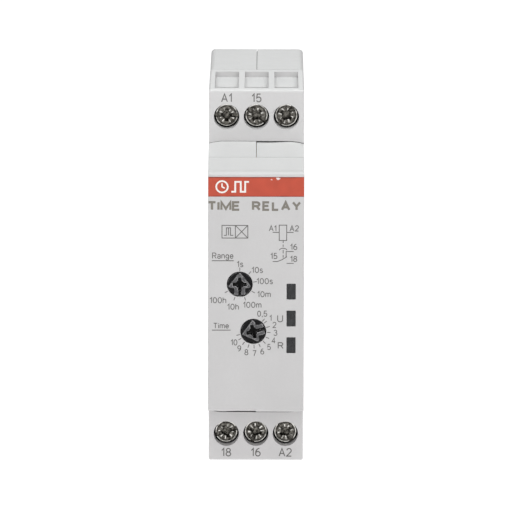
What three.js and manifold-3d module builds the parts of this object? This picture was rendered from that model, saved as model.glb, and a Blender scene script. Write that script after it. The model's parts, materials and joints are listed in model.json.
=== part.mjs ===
// One-module time relay for a 35 mm mounting rail, as an assembly of separate pieces.
// Millimetres. X is the width, +Y points back to the rail, +Z is up.
// The origin is the middle of the face that rests on the front of the rail.

import * as THREE from "three";
import { mergeVertices } from "three/addons/utils/BufferGeometryUtils.js";
import Module from "manifold-3d";

const wasm = await Module();
wasm.setup();

// ---------------------------------------------------------------- driving dimensions

const WIDTH = 17.5; // one module
const HEIGHT = 70;
const FRONT_Y = -53; // face of the front plate
const BACK_Y = 5; // back of the two legs that straddle the rail
const PLATEAU_Y = -39; // front face of the terminal covers
const WALL = 1.2;
const SEAM = 0.09; // gap between the two half shells
const SLIDE_GAP = 0.3; // gap around pieces that slide

const HALF_WIDTH = WIDTH / 2;
const HALF_HEIGHT = HEIGHT / 2;
const INNER_X = HALF_WIDTH - WALL;

// front plate
const PLATE_THICKNESS = 1.8;
const PLATE_HALF_HEIGHT = 22.4;
const PLATE_FLAT_HALF_HEIGHT = 21.6;
const PLATE_EDGE_DEPTH = 1.2;
const PLATE_BACK_Y = FRONT_Y + PLATE_THICKNESS;
const SHELL_FRONT_Y = PLATE_BACK_Y + 0.1;

// shoulders that fall back from the front plate to the terminal covers, each with a crease
const TOP_CREASE = { y: -47.2, z: 24 };
const BOTTOM_CREASE = { y: -45, z: 23.5 };
const LIP_THICKNESS = 0.7; // lip of the front plate, which reaches up to the top crease
const LIP_GAP = 0.08;
const SPLIT_Z = { top: 25.4, bottom: 25.78 }; // line where a shoulder meets its terminal cover
const SPLIT_DROP = 0.4; // how far that line dips towards the sides
const SPLIT_FLAT_X = 5.8; // it is straight as far out as this
const OPEN_SPLIT = { middle: 0.27, side: 0.12 }; // the gap on one half of the width
const CLOSED_SPLIT = { middle: 0.06, side: 0.06 }; // and on the other half
const COVER_BACK_Y = -18.2;
const COVER_CORNER_RADIUS = 0.5;
const REAR_CORNER_RADIUS = 1;

// terminals
const PITCH = 5.48;
const SCREW_Z = 29.9;
const SCREW_HOLE_RADIUS = 2.36;
const HEAD_RADIUS = 2.2;
const HEAD_TOP_Y = -37;
const HEAD_BACK_Y = -34.7;
const SHANK_RADIUS = 1.5;
const SHANK_CLEARANCE = 0.2;
const SHANK_TIP_Y = -30.6;
const POCKET_HALF_WIDTH = 2.35;
const POCKET_Y = [-33.7, -24.7];
const POCKET_TOP_Z = 32.65;
const CAGE_HALF_WIDTH = 2.15;
const CAGE_Y = [-32, -25];
const CAGE_Z = [27, 32.4];
const CAGE_WALLS = { side: 0.55, front: 1.2, back: 1 };
const BAR_Y = [-30.4, -29.6];
const BAR_HALF_WIDTH = 1.2;
const SOLDER_SIDE_X = -5.5; // where the contact bars reach the main board

// wire entries in the top and bottom faces
const ENTRY_HALF_WIDTH = 2.2;
const ENTRY_Y = [-37, -20.3];
const WIRE_HOLE_Y = [-30.6, -26];
const ENTRY_STEP_Z = 33.95; // foot of the entry's rear wall, from which a ramp falls to the wire hole
const RAMP_END_Z = 33.1;
const ENTRY_FLOOR_Z = 33.3;
const UNDERCUT_Z = 32.95; // the wire hole's rear edge is this thin above the pocket

// rail interface
const SEAT_HALF_HEIGHT = 15.4;
const SEAT_RELIEF = 0.3;
const RAIL_SLOT_Z = 17.7;
const HOOK_TIP_Z = 15.9;
const HOOK_Y = [1.4, 3.4];
const LATCH_Y = [1.5, 3.6];
const LATCH_HALF_WIDTH = 3.6;
const LATCH_WINDOW_HALF_WIDTH = 1.5;
const LATCH_WINDOW_Z = [-31.8, -22.3];
const PEG_Z = [-31.4, -30.2];
const SPRING_RADIUS = 0.92;
const SPRING_WIRE_RADIUS = 0.17;
const SPRING_TURNS = 7;

// dials, windows and boards
const RANGE_DIAL = { x: -2.95, z: 1.49 };
const TIME_DIAL = { x: -0.47, z: -7.31 };
const RANGE_POINTER_DEG = 0; // clockwise from straight up
const TIME_POINTER_DEG = 255;
const DIAL_HOLE_RADIUS = 2.36;
const KNOB_RADIUS = 2.26;
const WINDOW_X = 6.42;
const WINDOW_Z = [0.15, -4.87, -9.86];
const WINDOW_SIZE = { x: 1.64, z: 2.94 };
const FRONT_BOARD_Y = [-44.6, -43];
const MAIN_BOARD_X = [-7.2, -5.6];

// posts and pins that join the two half shells, as places in Y and Z
const FRONT_POST = [-40, 8]; // this one passes the main board
const POST_PLACES = [FRONT_POST, [-6, 27], [-6, -27]];
const POST_RADIUS = 1.9;
const POST_BORE_RADIUS = 1.25;
const POST_PIN_RADIUS = 1;

// relay, centred on this line along Z
const RELAY_Y = -15;
const COIL_X = 0.5;
const CONTACT_X = 5.3;

const ROUND_SIDES = 32;
const SMALL_SIDES = 20;
const MERGE_DISTANCE = 1e-4;

// ---------------------------------------------------------------- materials

function material(color, roughness, metalness = 0) {
  return new THREE.MeshStandardMaterial({ color, roughness, metalness });
}

const paleGrey = material(0xd6d5d5, 0.55);
const blackPlastic = material(0x1b1b1d, 0.4);
const smokedPlastic = material(0x3e4042, 0.2);
const nickelSteel = material(0x8f8d88, 0.3, 1);
const zincSteel = material(0xa9a9a6, 0.4, 1);
const copperAlloy = material(0xb98a52, 0.35, 1);
const boardGreen = material(0x2c5a3c, 0.5);
const componentBlack = material(0x202022, 0.55);
const componentBlue = material(0x2b4f8c, 0.45);
const componentYellow = material(0xc8a23a, 0.5);
const relayCase = material(0xc9772e, 0.35);
const coilCopper = material(0x9c4a25, 0.35, 1);
const ledBody = material(0xe4e2d6, 0.3);
const latchGrey = material(0x3a3b3d, 0.5);
const springSteel = material(0x9a9a9c, 0.3, 1);

// ---------------------------------------------------------------- solids

function toSolid(geometry) {
  const plain = geometry.clone();
  plain.deleteAttribute("normal");
  plain.deleteAttribute("uv");
  const merged = mergeVertices(plain, MERGE_DISTANCE);
  const mesh = new wasm.Mesh({
    numProp: 3,
    vertProperties: new Float32Array(merged.attributes.position.array),
    triVerts: new Uint32Array(merged.index.array),
  });
  return new wasm.Manifold(mesh);
}

function toGeometry(solid) {
  const mesh = solid.getMesh();
  const geometry = new THREE.BufferGeometry();
  geometry.setAttribute("position", new THREE.BufferAttribute(mesh.vertProperties, 3));
  geometry.setIndex(new THREE.BufferAttribute(mesh.triVerts, 1));
  geometry.computeVertexNormals();
  return geometry;
}

function join(...solids) {
  return solids.reduce((all, next) => all.add(next));
}

function cut(solid, ...tools) {
  return tools.reduce((rest, tool) => rest.subtract(tool), solid);
}

function block([x0, x1], [y0, y1], [z0, z1]) {
  const geometry = new THREE.BoxGeometry(x1 - x0, y1 - y0, z1 - z0);
  geometry.translate((x0 + x1) / 2, (y0 + y1) / 2, (z0 + z1) / 2);
  return toSolid(geometry);
}

// a rod along one axis; "at" holds its place on the other two axes, in X, Y, Z order
function rod(axis, radius, [from, to], at, sides = ROUND_SIDES) {
  const geometry = new THREE.CylinderGeometry(radius, radius, to - from, sides);
  const middle = (from + to) / 2;
  if (axis === "x") {
    geometry.rotateZ(-Math.PI / 2);
    geometry.translate(middle, at[0], at[1]);
  } else if (axis === "y") {
    geometry.translate(at[0], middle, at[1]);
  } else {
    geometry.rotateX(Math.PI / 2);
    geometry.translate(at[0], at[1], middle);
  }
  return toSolid(geometry);
}

function outline(points) {
  return new THREE.Shape(points.map(([u, v]) => new THREE.Vector2(u, v)));
}

function around(centre, halfSize) {
  return [centre - halfSize, centre + halfSize];
}

const X_AXIS = new THREE.Vector3(1, 0, 0);
const Y_AXIS = new THREE.Vector3(0, 1, 0);
const Z_AXIS = new THREE.Vector3(0, 0, 1);
const SHAPE_IN_YZ = new THREE.Matrix4().makeBasis(Y_AXIS, Z_AXIS, X_AXIS);
const SHAPE_IN_XZ = new THREE.Matrix4().makeBasis(X_AXIS, Z_AXIS, Y_AXIS.clone().negate());

// a shape drawn in Y and Z, extruded along X
function prismX(shape, [from, to], curveSegments = 6) {
  const geometry = new THREE.ExtrudeGeometry(shape, {
    depth: to - from, bevelEnabled: false, curveSegments,
  });
  geometry.applyMatrix4(SHAPE_IN_YZ);
  geometry.translate(from, 0, 0);
  return toSolid(geometry);
}

// a shape drawn in X and Z, extruded along Y from its front to its back
function prismY(shape, [front, back], curveSegments = 6) {
  const geometry = new THREE.ExtrudeGeometry(shape, {
    depth: back - front, bevelEnabled: false, curveSegments,
  });
  geometry.applyMatrix4(SHAPE_IN_XZ);
  geometry.translate(0, back, 0);
  return toSolid(geometry);
}

// the same piece turned half a turn about the Y axis, from the top of the object to the bottom
function turnedOver(solid) {
  return solid.rotate([0, 180, 0]);
}

function mirroredInZ(solid) {
  return solid.mirror([0, 0, 1]);
}

// ---------------------------------------------------------------- assembly

const timer = new THREE.Group();

function addPiece(name, solid, finish) {
  const mesh = new THREE.Mesh(toGeometry(solid), finish);
  mesh.name = name;
  timer.add(mesh);
}

// ---------------------------------------------------------------- housing

// outer side outline of a half shell, drawn in Y and Z; its lower shoulder ends at the gap above the cover
function shellOutline(bottomGap) {
  const corner = 1;
  const topRim = SPLIT_Z.top + 0.2;
  const bottomRim = SPLIT_Z.bottom + 0.2;
  const shoulderEnd = SPLIT_Z.bottom - bottomGap.middle;
  const notchBack = COVER_BACK_Y + 0.2;
  const underLip = LIP_THICKNESS + LIP_GAP;
  const shape = new THREE.Shape();
  shape.moveTo(SHELL_FRONT_Y, -PLATE_HALF_HEIGHT);
  shape.lineTo(SHELL_FRONT_Y, PLATE_HALF_HEIGHT - underLip);
  shape.lineTo(TOP_CREASE.y + LIP_GAP, TOP_CREASE.z - underLip);
  shape.lineTo(TOP_CREASE.y + LIP_GAP, TOP_CREASE.z);
  shape.lineTo(PLATEAU_Y, topRim);
  shape.lineTo(notchBack, topRim);
  shape.lineTo(notchBack, HALF_HEIGHT);
  shape.lineTo(BACK_Y - corner, HALF_HEIGHT);
  shape.absarc(BACK_Y - corner, HALF_HEIGHT - corner, corner, Math.PI / 2, 0, true);
  shape.lineTo(BACK_Y, RAIL_SLOT_Z);
  shape.lineTo(HOOK_Y[1], RAIL_SLOT_Z - 0.6);
  shape.lineTo(HOOK_Y[1] - 0.6, HOOK_TIP_Z);
  shape.lineTo(HOOK_Y[0], HOOK_TIP_Z);
  shape.lineTo(HOOK_Y[0], RAIL_SLOT_Z);
  shape.lineTo(-SEAT_RELIEF, RAIL_SLOT_Z);
  shape.lineTo(-SEAT_RELIEF, SEAT_HALF_HEIGHT);
  shape.lineTo(0, SEAT_HALF_HEIGHT);
  shape.lineTo(0, -SEAT_HALF_HEIGHT);
  shape.lineTo(-SEAT_RELIEF, -SEAT_HALF_HEIGHT);
  shape.lineTo(-SEAT_RELIEF, -RAIL_SLOT_Z);
  shape.lineTo(BACK_Y, -RAIL_SLOT_Z);
  shape.lineTo(BACK_Y, -HALF_HEIGHT + corner);
  shape.absarc(BACK_Y - corner, -HALF_HEIGHT + corner, corner, 0, -Math.PI / 2, true);
  shape.lineTo(notchBack, -HALF_HEIGHT);
  shape.lineTo(notchBack, -bottomRim);
  shape.lineTo(PLATEAU_Y, -bottomRim);
  shape.lineTo(PLATEAU_Y, -shoulderEnd);
  shape.lineTo(BOTTOM_CREASE.y, -BOTTOM_CREASE.z);
  shape.closePath();
  return shape;
}

// the hollow of a half shell: open to the front, and to the terminal covers above and below
function hollowOutline() {
  const rimBack = -36.5;
  const openingBack = COVER_BACK_Y - 1;
  const beyondRim = SPLIT_Z.bottom + 1;
  const underRim = SPLIT_Z.top - WALL;
  const topWall = WALL + 0.5; // thicker under the lip of the front plate
  const wallBack = COVER_BACK_Y + 0.2 + WALL;
  const roof = HALF_HEIGHT - WALL;
  const backWall = -1.4;
  return outline([
    [SHELL_FRONT_Y - 1, -PLATE_HALF_HEIGHT + WALL],
    [SHELL_FRONT_Y - 1, PLATE_HALF_HEIGHT - topWall],
    [SHELL_FRONT_Y, PLATE_HALF_HEIGHT - topWall],
    [TOP_CREASE.y, TOP_CREASE.z - topWall],
    [rimBack, underRim],
    [rimBack, beyondRim],
    [openingBack, beyondRim],
    [openingBack, underRim],
    [wallBack, underRim],
    [wallBack, roof],
    [BACK_Y - WALL, roof],
    [BACK_Y - WALL, RAIL_SLOT_Z + WALL],
    [backWall, RAIL_SLOT_Z + WALL],
    [backWall, -roof],
    [wallBack, -roof],
    [wallBack, -underRim],
    [openingBack, -underRim],
    [openingBack, -beyondRim],
    [rimBack, -beyondRim],
    [rimBack, -underRim],
    [BOTTOM_CREASE.y, -BOTTOM_CREASE.z + WALL],
    [SHELL_FRONT_Y, -PLATE_HALF_HEIGHT + WALL],
  ]);
}

// region beyond a split line on one half of the width, in X and Z, with the shell's gap below that line
function beyondSplit(side, splitZ, gap) {
  const innerZ = splitZ - gap.middle;
  const outerZ = splitZ - gap.side;
  const beyond = splitZ + 2;
  const reach = side * (HALF_WIDTH + 1);
  const shape = new THREE.Shape();
  shape.moveTo(0, innerZ);
  shape.lineTo(side * 0.5 * SPLIT_FLAT_X, innerZ);
  shape.lineTo(side * SPLIT_FLAT_X, outerZ);
  shape.quadraticCurveTo(
    side * (SPLIT_FLAT_X + 1.5), outerZ, side * HALF_WIDTH, outerZ - SPLIT_DROP,
  );
  shape.lineTo(reach, outerZ - SPLIT_DROP);
  shape.lineTo(reach, beyond);
  shape.lineTo(0, beyond);
  shape.closePath();
  return shape;
}

function splitTool(side, splitZ, gap) {
  return prismY(beyondSplit(side, splitZ, gap), [PLATEAU_Y - 3, COVER_BACK_Y + 0.1]);
}

// the whole height and width with rounded corners, from front to back
function roundedBar(radius) {
  const x = HALF_WIDTH;
  const z = HALF_HEIGHT;
  const shape = new THREE.Shape();
  shape.moveTo(-x + radius, -z);
  shape.lineTo(x - radius, -z);
  shape.absarc(x - radius, -z + radius, radius, -Math.PI / 2, 0, false);
  shape.lineTo(x, z - radius);
  shape.absarc(x - radius, z - radius, radius, 0, Math.PI / 2, false);
  shape.lineTo(-x + radius, z);
  shape.absarc(-x + radius, z - radius, radius, Math.PI / 2, Math.PI, false);
  shape.lineTo(-x, -z + radius);
  shape.absarc(-x + radius, -z + radius, radius, Math.PI, 1.5 * Math.PI, false);
  return prismY(shape, [FRONT_Y - 1, BACK_Y + 1]);
}

// the channel at the back of the lower leg where the rail latch slides
function latchChannel() {
  return block(
    around(0, LATCH_HALF_WIDTH + SLIDE_GAP),
    [LATCH_Y[0] - 0.2, LATCH_Y[1] + 0.2],
    [-HALF_HEIGHT - 1, -RAIL_SLOT_Z + 1],
  );
}

// the peg that the latch spring rests on
function latchPeg() {
  const depth = [LATCH_Y[0] - 0.3, LATCH_Y[1] + 0.3];
  return block(around(0, LATCH_WINDOW_HALF_WIDTH - SLIDE_GAP), depth, PEG_Z);
}

// tab of the left shell that crosses the seam and closes the middle of the rail seat
function seatTab(clearance = 0) {
  const reach = 2 + clearance;
  return block([-1, reach], [-WALL, 0], around(0, 6 + clearance));
}

function ventSlots(side) {
  const slots = [];
  for (let row = 0; row < 5; row += 1) {
    const z = 21 + row * 2.2;
    slots.push(block(around(side * HALF_WIDTH, 0.5), [-14, -4], around(z, 0.45)));
  }
  return join(...slots);
}

function halfShell(side) {
  const outer = side > 0 ? [SEAM / 2, HALF_WIDTH] : [-HALF_WIDTH, -SEAM / 2];
  const inner = side > 0 ? [-1, INNER_X] : [-INNER_X, 1];
  const topGap = side > 0 ? OPEN_SPLIT : CLOSED_SPLIT;
  const bottomGap = side > 0 ? CLOSED_SPLIT : OPEN_SPLIT;
  const outside = prismX(shellOutline(bottomGap), outer).intersect(roundedBar(REAR_CORNER_RADIUS));
  const tray = cut(outside, prismX(hollowOutline(), inner));
  const withChannel = cut(tray, latchChannel());
  const pegHalf = latchPeg().intersect(block(outer, [-5, 6], [-40, 0]));
  const shell = join(withChannel, pegHalf);
  return cut(
    shell,
    splitTool(side, SPLIT_Z.top, topGap),
    mirroredInZ(splitTool(side, SPLIT_Z.bottom, bottomGap)),
    ventSlots(side),
    mirroredInZ(ventSlots(side)),
  );
}

function buildHousing() {
  const rods = (radius, reach) => POST_PLACES.map((at) => rod("x", radius, reach, at, SMALL_SIDES));
  const posts = rods(POST_RADIUS, [1, INNER_X + 0.2]);
  const sockets = rods(POST_BORE_RADIUS, [0, 5]);
  const pins = rods(POST_PIN_RADIUS, [-3, 3]);
  const pinRoots = rods(POST_RADIUS, [-INNER_X - 0.2, -1]);
  addPiece("housing_left", join(halfShell(-1), ...pinRoots, ...pins, seatTab()), paleGrey);
  addPiece("housing_right", cut(join(halfShell(1), ...posts), ...sockets, seatTab(0.1)), paleGrey);
}

// ---------------------------------------------------------------- terminal covers

function coverOutline(innerZ) {
  const edge = 0.45;
  const shape = new THREE.Shape();
  shape.moveTo(PLATEAU_Y, innerZ);
  shape.lineTo(PLATEAU_Y, HALF_HEIGHT - edge);
  shape.absarc(PLATEAU_Y + edge, HALF_HEIGHT - edge, edge, Math.PI, Math.PI / 2, true);
  shape.lineTo(COVER_BACK_Y, HALF_HEIGHT);
  shape.lineTo(COVER_BACK_Y, innerZ);
  shape.closePath();
  return shape;
}

// region on the near side of a split line, in X and Z
function belowSplit(splitZ) {
  const low = splitZ - 2;
  const sideZ = splitZ - SPLIT_DROP;
  const shape = new THREE.Shape();
  shape.moveTo(-HALF_WIDTH - 1, low);
  shape.lineTo(HALF_WIDTH + 1, low);
  shape.lineTo(HALF_WIDTH + 1, sideZ);
  shape.lineTo(HALF_WIDTH, sideZ);
  shape.quadraticCurveTo(SPLIT_FLAT_X + 1.5, splitZ, SPLIT_FLAT_X, splitZ);
  shape.lineTo(-SPLIT_FLAT_X, splitZ);
  shape.quadraticCurveTo(-SPLIT_FLAT_X - 1.5, splitZ, -HALF_WIDTH, sideZ);
  shape.lineTo(-HALF_WIDTH - 1, sideZ);
  shape.closePath();
  return shape;
}

// the sloping recess that leads a wire down into its hole
function entryRecess(x) {
  const top = HALF_HEIGHT + 1;
  const shape = outline([
    [ENTRY_Y[0], top],
    [ENTRY_Y[1], top],
    [ENTRY_Y[1], ENTRY_STEP_Z],
    [WIRE_HOLE_Y[1], RAMP_END_Z],
    [WIRE_HOLE_Y[0], RAMP_END_Z],
    [WIRE_HOLE_Y[0], ENTRY_FLOOR_Z],
    [ENTRY_Y[0], ENTRY_FLOOR_Z],
  ]);
  return prismX(shape, around(x, ENTRY_HALF_WIDTH));
}

function terminalRoom(x) {
  const open = SPLIT_Z.top - 2;
  const width = around(x, POCKET_HALF_WIDTH);
  return [
    block(width, POCKET_Y, [open, POCKET_TOP_Z]),
    block(width, [WIRE_HOLE_Y[0], POCKET_Y[1]], [open, UNDERCUT_Z]),
    block(width, [POCKET_Y[1] + 1.2, COVER_BACK_Y - WALL], [open, POCKET_TOP_Z - 0.6]),
    block(around(x, ENTRY_HALF_WIDTH), WIRE_HOLE_Y, [POCKET_TOP_Z - 1, HALF_HEIGHT]),
    entryRecess(x),
    rod("y", SCREW_HOLE_RADIUS, [PLATEAU_Y - 1, HEAD_BACK_Y + 0.1], [x, SCREW_Z]),
    rod("y", SHANK_RADIUS + SHANK_CLEARANCE, [HEAD_BACK_Y - 1, POCKET_Y[0] + 1], [x, SCREW_Z]),
  ];
}

const COLUMNS = [
  { word: "left", x: -PITCH },
  { word: "middle", x: 0 },
  { word: "right", x: PITCH },
];

function terminalCover(splitZ) {
  const full = prismX(coverOutline(splitZ - 1), [-HALF_WIDTH, HALF_WIDTH]);
  const rounded = full.intersect(roundedBar(COVER_CORNER_RADIUS));
  const trimmed = cut(rounded, prismY(belowSplit(splitZ), [PLATEAU_Y - 1, COVER_BACK_Y + 1]));
  return cut(trimmed, ...COLUMNS.flatMap(({ x }) => terminalRoom(x)));
}

function buildCovers() {
  addPiece("terminal_cover_top", terminalCover(SPLIT_Z.top), paleGrey);
  addPiece("terminal_cover_bottom", turnedOver(terminalCover(SPLIT_Z.bottom)), paleGrey);
}

// ---------------------------------------------------------------- terminals

// head with a screwdriver slot and a cross recess, and a plain shank
function terminalScrew(x) {
  const at = [x, SCREW_Z];
  const recess = [HEAD_TOP_Y - 0.5, HEAD_TOP_Y + 1.1];
  const slot = block(around(x, 0.35), [recess[0], HEAD_TOP_Y + 0.7], around(SCREW_Z, HEAD_RADIUS + 1));
  const cross = block(around(x, 1.25), recess, around(SCREW_Z, 0.38));
  const well = rod("y", 0.75, recess, at, SMALL_SIDES);
  const head = rod("y", HEAD_RADIUS, [HEAD_TOP_Y, HEAD_BACK_Y], at);
  const shank = rod("y", SHANK_RADIUS, [HEAD_BACK_Y - 0.1, SHANK_TIP_Y], at, SMALL_SIDES);
  return join(cut(head, slot, cross, well), shank);
}

// rectangular clamp that the screw draws towards its head
function clampCage(x) {
  const inside = [CAGE_Y[0] + CAGE_WALLS.front, CAGE_Y[1] - CAGE_WALLS.back];
  const tube = block(around(x, CAGE_HALF_WIDTH), CAGE_Y, CAGE_Z);
  const tunnel = block(
    around(x, CAGE_HALF_WIDTH - CAGE_WALLS.side), inside, [CAGE_Z[0] - 1, CAGE_Z[1] + 1],
  );
  const threadY = [CAGE_Y[0] - 1, inside[0] + 1];
  const thread = rod("y", SHANK_RADIUS + 0.15, threadY, [x, SCREW_Z], SMALL_SIDES);
  return cut(tube, tunnel, thread);
}

// fixed strip through the cage, with a tail at its own height that reaches the main board
function contactBar(x, column) {
  const stripBottom = 23.4;
  const tailBottom = 21.6 - column * 1.3;
  const tailHeight = 0.9;
  const right = x + BAR_HALF_WIDTH;
  const left = Math.max(x - BAR_HALF_WIDTH, SOLDER_SIDE_X);
  const strip = block(around(x, BAR_HALF_WIDTH), BAR_Y, [stripBottom, CAGE_Z[1] - 0.3]);
  const leg = block([left, right], BAR_Y, [tailBottom, stripBottom + 0.1]);
  const tail = block([SOLDER_SIDE_X, right], BAR_Y, [tailBottom, tailBottom + tailHeight]);
  return join(strip, leg, tail);
}

function buildTerminals() {
  COLUMNS.forEach(({ word, x }, column) => {
    addPiece(`terminal_screw_top_${word}`, terminalScrew(x), nickelSteel);
    addPiece(`clamp_cage_top_${word}`, clampCage(x), zincSteel);
    addPiece(`contact_bar_top_${word}`, contactBar(x, column), copperAlloy);
    addPiece(`terminal_screw_bottom_${word}`, mirroredInZ(terminalScrew(x)), nickelSteel);
    addPiece(`clamp_cage_bottom_${word}`, mirroredInZ(clampCage(x)), zincSteel);
    addPiece(`contact_bar_bottom_${word}`, mirroredInZ(contactBar(x, column)), copperAlloy);
  });
}

// ---------------------------------------------------------------- front plate

function plateOutline() {
  const shape = new THREE.Shape();
  const flat = PLATE_FLAT_HALF_HEIGHT;
  const edgeY = FRONT_Y + PLATE_EDGE_DEPTH;
  shape.moveTo(FRONT_Y, -flat);
  shape.lineTo(FRONT_Y, flat);
  shape.quadraticCurveTo(FRONT_Y, PLATE_HALF_HEIGHT, edgeY, PLATE_HALF_HEIGHT);
  shape.lineTo(PLATE_BACK_Y, PLATE_HALF_HEIGHT);
  shape.lineTo(TOP_CREASE.y, TOP_CREASE.z);
  shape.lineTo(TOP_CREASE.y, TOP_CREASE.z - LIP_THICKNESS);
  shape.lineTo(PLATE_BACK_Y, PLATE_HALF_HEIGHT - LIP_THICKNESS);
  shape.lineTo(PLATE_BACK_Y, -PLATE_HALF_HEIGHT);
  shape.lineTo(edgeY, -PLATE_HALF_HEIGHT);
  shape.quadraticCurveTo(FRONT_Y, -PLATE_HALF_HEIGHT, FRONT_Y, -flat);
  return shape;
}

// springy tab that clips behind the shoulder wall
function plateClip() {
  const root = PLATE_BACK_Y - 0.2;
  const shape = outline([
    [root, 19.4],
    [root, 20.4],
    [-49, 20.4],
    [-48.6, 20.7],
    [-47.4, 20.2],
    [-47.4, 19.4],
  ]);
  return prismX(shape, [-3, 3]);
}

function buildFrontPlate() {
  const through = [FRONT_Y - 1, PLATE_BACK_Y + 1];
  const dialHoles = [RANGE_DIAL, TIME_DIAL].map(
    ({ x, z }) => rod("y", DIAL_HOLE_RADIUS, through, [x, z]),
  );
  const windows = WINDOW_Z.map((z) => block(
    around(WINDOW_X, WINDOW_SIZE.x / 2), through, around(z, WINDOW_SIZE.z / 2),
  ));
  const plate = cut(prismX(plateOutline(), [-HALF_WIDTH, HALF_WIDTH]), ...dialHoles, ...windows);
  addPiece("front_plate", join(plate, plateClip(), mirroredInZ(plateClip())), paleGrey);
}

// ---------------------------------------------------------------- dials

// raised pointer, drawn straight up in X and Z around the dial's axis
function pointerOutline() {
  return outline([
    [-1.25, -1.5],
    [1.25, -1.5],
    [1.55, 0.35],
    [0, 1.95],
    [-1.55, 0.35],
  ]);
}

function dialKnob({ x, z }, pointerDeg) {
  const faceY = FRONT_Y + 0.28;
  const collarY = [PLATE_BACK_Y + 0.25, PLATE_BACK_Y + 0.85];
  const axis = [0, 0];
  const disc = rod("y", KNOB_RADIUS, [faceY, collarY[0] + 0.1], axis);
  const pointer = prismY(pointerOutline(), [FRONT_Y + 0.02, faceY + 0.1]);
  const collar = rod("y", KNOB_RADIUS + 0.5, collarY, axis);
  const shaft = rod("y", 1.4, [collarY[1] - 0.1, -46.2], axis, SMALL_SIDES);
  const deep = [FRONT_Y - 1, FRONT_Y + 1.5];
  const crossArms = [
    block([-1.15, 1.15], deep, [-0.33, 0.33]),
    block([-0.33, 0.33], deep, [-1.15, 1.15]),
    rod("y", 0.6, deep, axis, SMALL_SIDES),
  ];
  const tail = block([-0.28, 0.28], [FRONT_Y - 1, FRONT_Y + 0.8], [-KNOB_RADIUS - 0.5, 0]);
  const knob = cut(join(disc, pointer, collar, shaft), ...crossArms, tail);
  return knob.rotate([0, pointerDeg, 0]).translate([x, 0, z]);
}

function dialSocket({ x, z }) {
  const body = block(around(x, 3.1), [-49, FRONT_BOARD_Y[0] - 0.1], around(z, 3.1));
  return cut(body, rod("y", 1.7, [-50, -45.8], [x, z], SMALL_SIDES));
}

function buildDials() {
  addPiece("range_knob", dialKnob(RANGE_DIAL, RANGE_POINTER_DEG), blackPlastic);
  addPiece("time_knob", dialKnob(TIME_DIAL, TIME_POINTER_DEG), blackPlastic);
  addPiece("rotary_switch", dialSocket(RANGE_DIAL), componentBlue);
  addPiece("potentiometer", dialSocket(TIME_DIAL), componentBlue);
}

// ---------------------------------------------------------------- indicator windows and boards

function buildIndicators() {
  const clearance = 0.05;
  const guideY = [FRONT_Y + 0.05, -46.5];
  const names = ["blank", "supply", "relay"];
  WINDOW_Z.forEach((z, row) => {
    const guide = block(
      around(WINDOW_X, WINDOW_SIZE.x / 2 - clearance), guideY, around(z, WINDOW_SIZE.z / 2 - clearance),
    );
    addPiece(`light_guide_${names[row]}`, guide, smokedPlastic);
    if (names[row] === "blank") {
      return;
    }
    const chip = block(around(WINDOW_X, 0.7), [-46.2, FRONT_BOARD_Y[0] - 0.1], around(z, 1));
    addPiece(`led_${names[row]}`, chip, ledBody);
  });
}

function buildBoards() {
  addPiece("front_board", block([-7.2, 7.25], FRONT_BOARD_Y, [-19.6, 19.6]), boardGreen);
  const mainBoard = block(MAIN_BOARD_X, [-41.4, -3.6], [-21.8, 21.8]);
  const postNotch = rod("x", 2.3, [-8, -5], FRONT_POST, SMALL_SIDES);
  addPiece("main_board", cut(mainBoard, postNotch), boardGreen);
  addPiece("board_connector", block([-5.4, -2.9], [-42.8, -40.2], [-8, 4]), componentBlack);
}

// ---------------------------------------------------------------- parts on the boards

function electrolyticCapacitor(y, z) {
  const radius = 3.15;
  const grooveDepth = 0.3;
  const can = rod("x", radius, [-5.4, 5.2], [y, z], SMALL_SIDES);
  const band = rod("x", radius + 1, [-4.2, -3.6], [y, z], SMALL_SIDES);
  const core = rod("x", radius - grooveDepth, [-5, -3], [y, z], SMALL_SIDES);
  return cut(can, cut(band, core));
}

function buildComponents() {
  addPiece("capacitor_supply", electrolyticCapacitor(-33.5, 14.6), componentBlue);
  addPiece("capacitor_filter", electrolyticCapacitor(-33.5, 7.6), componentBlue);
  addPiece("film_capacitor", block([-5.4, 4.8], [-37.5, -31.5], [-14, -1]), componentYellow);
  const disc = rod("y", 4.4, [-26.8, -23.4], [-0.4, 12], ROUND_SIDES);
  const leads = [10, 14].map((z) => block([-5.4, -2], [-25.5, -24.7], around(z, 0.4)));
  addPiece("varistor", join(disc, ...leads), componentBlue);
  addPiece("control_chip", block([0.6, 4.6], [-42.9, -41.3], [-13, -3]), componentBlack);
}

// ---------------------------------------------------------------- relay

function relayCore() {
  const axis = [COIL_X, RELAY_Y];
  const stem = rod("z", 1.3, [-11.2, 3.2], axis, SMALL_SIDES);
  const poleFace = rod("z", 2.2, [3, 3.7], axis, SMALL_SIDES);
  return join(stem, poleFace);
}

function relayYoke() {
  const width = around(RELAY_Y, 2.6);
  const underCoil = block([-3.9, -3], width, [-12.4, 4.3]);
  const end = block([-3.9, 3.4], width, [-12.4, -11.3]);
  return join(underCoil, end);
}

function coilBobbin() {
  const axis = [COIL_X, RELAY_Y];
  const square = [around(COIL_X, 3.3), around(RELAY_Y, 3.3)];
  const hub = rod("z", 1.9, [-11.1, 2.8], axis, SMALL_SIDES);
  const flanges = [[-11.2, -10.5], [2.1, 2.9]].map((span) => block(...square, span));
  return cut(join(hub, ...flanges), rod("z", 1.4, [-12, 4], axis, SMALL_SIDES));
}

function coilWinding() {
  const axis = [COIL_X, RELAY_Y];
  const outer = rod("z", 3.1, [-10.4, 2], axis, ROUND_SIDES);
  return cut(outer, rod("z", 1.95, [-11, 3], axis, SMALL_SIDES));
}

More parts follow.
